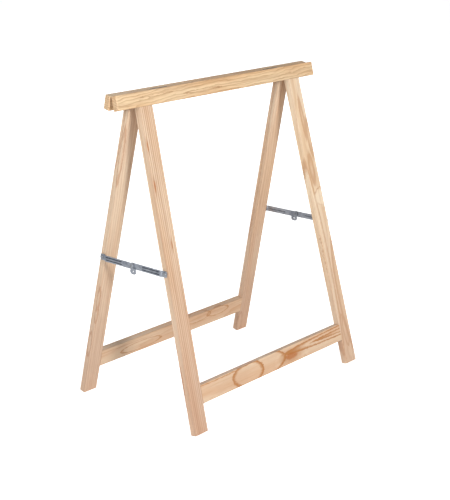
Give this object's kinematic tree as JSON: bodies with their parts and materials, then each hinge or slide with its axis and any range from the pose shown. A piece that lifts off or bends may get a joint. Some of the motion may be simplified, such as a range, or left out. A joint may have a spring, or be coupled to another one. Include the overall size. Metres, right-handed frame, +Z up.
{
  "type": "folding sawhorse",
  "caption": "Folding pine sawhorse: two board frames hinged along their top rails, held open by a folding ribbed steel brace on each side.",
  "frame": {"origin": "on the floor, under the middle of the two top rails, between the two frames", "axes": "+X along the top rails to the right, -Y to the front frame's side, +Z up"},
  "size_m": [0.664, 0.3936, 0.7495],
  "materials": {
    "pine_rail": "smooth planed pine, oiled look",
    "pine_leg": "smooth planed pine",
    "pine_stretcher": "smooth planed pine",
    "beech_dowel": "fluted hardwood dowel",
    "zinc_steel": "zinc-plated pressed steel",
    "zinc_fastener": "zinc-plated screw steel"
  },
  "bodies": {
    "back_frame": {"back_rail": "pine_rail", "back_leg_left": "pine_leg", "back_leg_right": "pine_leg", "back_stretcher": "pine_stretcher", "back_leg_dowels": "beech_dowel", "back_stretcher_dowels": "beech_dowel", "left_hinge_back_leaf": "zinc_steel", "right_hinge_back_leaf": "zinc_steel", "back_hinge_screws": "zinc_fastener", "back_arm_screws": "zinc_fastener", "back_arm_washers": "zinc_fastener", "left_hinge_pin": "zinc_fastener", "right_hinge_pin": "zinc_fastener"},
    "front_frame": {"front_rail": "pine_rail", "front_leg_left": "pine_leg", "front_leg_right": "pine_leg", "front_stretcher": "pine_stretcher", "front_leg_dowels": "beech_dowel", "front_stretcher_dowels": "beech_dowel", "left_hinge_front_leaf": "zinc_steel", "right_hinge_front_leaf": "zinc_steel", "front_hinge_screws": "zinc_fastener", "front_arm_screws": "zinc_fastener", "front_arm_washers": "zinc_fastener"},
    "left_back_arm": {"left_back_arm": "zinc_steel", "left_rivet": "zinc_fastener"},
    "left_front_arm": {"left_front_arm": "zinc_steel", "left_rivet_washer": "zinc_fastener"},
    "right_front_arm": {"right_front_arm": "zinc_steel", "right_rivet": "zinc_fastener"},
    "right_back_arm": {"right_back_arm": "zinc_steel", "right_rivet_washer": "zinc_fastener"}
  },
  "joints": [
    {"name": "frame_fold", "type": "hinge", "parent": "back_frame", "child": "front_frame", "pos_m": [0, 0, 0.746], "axis": [1, 0, 0], "range_deg": [0, 27.2]},
    {"name": "left_back_arm_swing", "type": "hinge", "parent": "back_frame", "child": "left_back_arm", "pos_m": [-0.2865, 0.10256, 0.35928], "axis": [1, 0, 0], "range_deg": [-71.5, 0]},
    {"name": "left_front_arm_swing", "type": "hinge", "parent": "front_frame", "child": "left_front_arm", "pos_m": [-0.2865, -0.10256, 0.35928], "axis": [1, 0, 0], "range_deg": [0, 71.5]},
    {"name": "right_back_arm_swing", "type": "hinge", "parent": "back_frame", "child": "right_back_arm", "pos_m": [0.2865, 0.10256, 0.35928], "axis": [1, 0, 0], "range_deg": [-71.5, 0]},
    {"name": "right_front_arm_swing", "type": "hinge", "parent": "front_frame", "child": "right_front_arm", "pos_m": [0.2865, -0.10256, 0.35928], "axis": [1, 0, 0], "range_deg": [0, 71.5]}
  ],
  "couplings": [
    {"joint": "left_back_arm_swing", "follows": "frame_fold", "ratio": -2.6287},
    {"joint": "left_front_arm_swing", "follows": "frame_fold", "ratio": 2.6287},
    {"joint": "right_back_arm_swing", "follows": "frame_fold", "ratio": -2.6287},
    {"joint": "right_front_arm_swing", "follows": "frame_fold", "ratio": 2.6287}
  ]
}
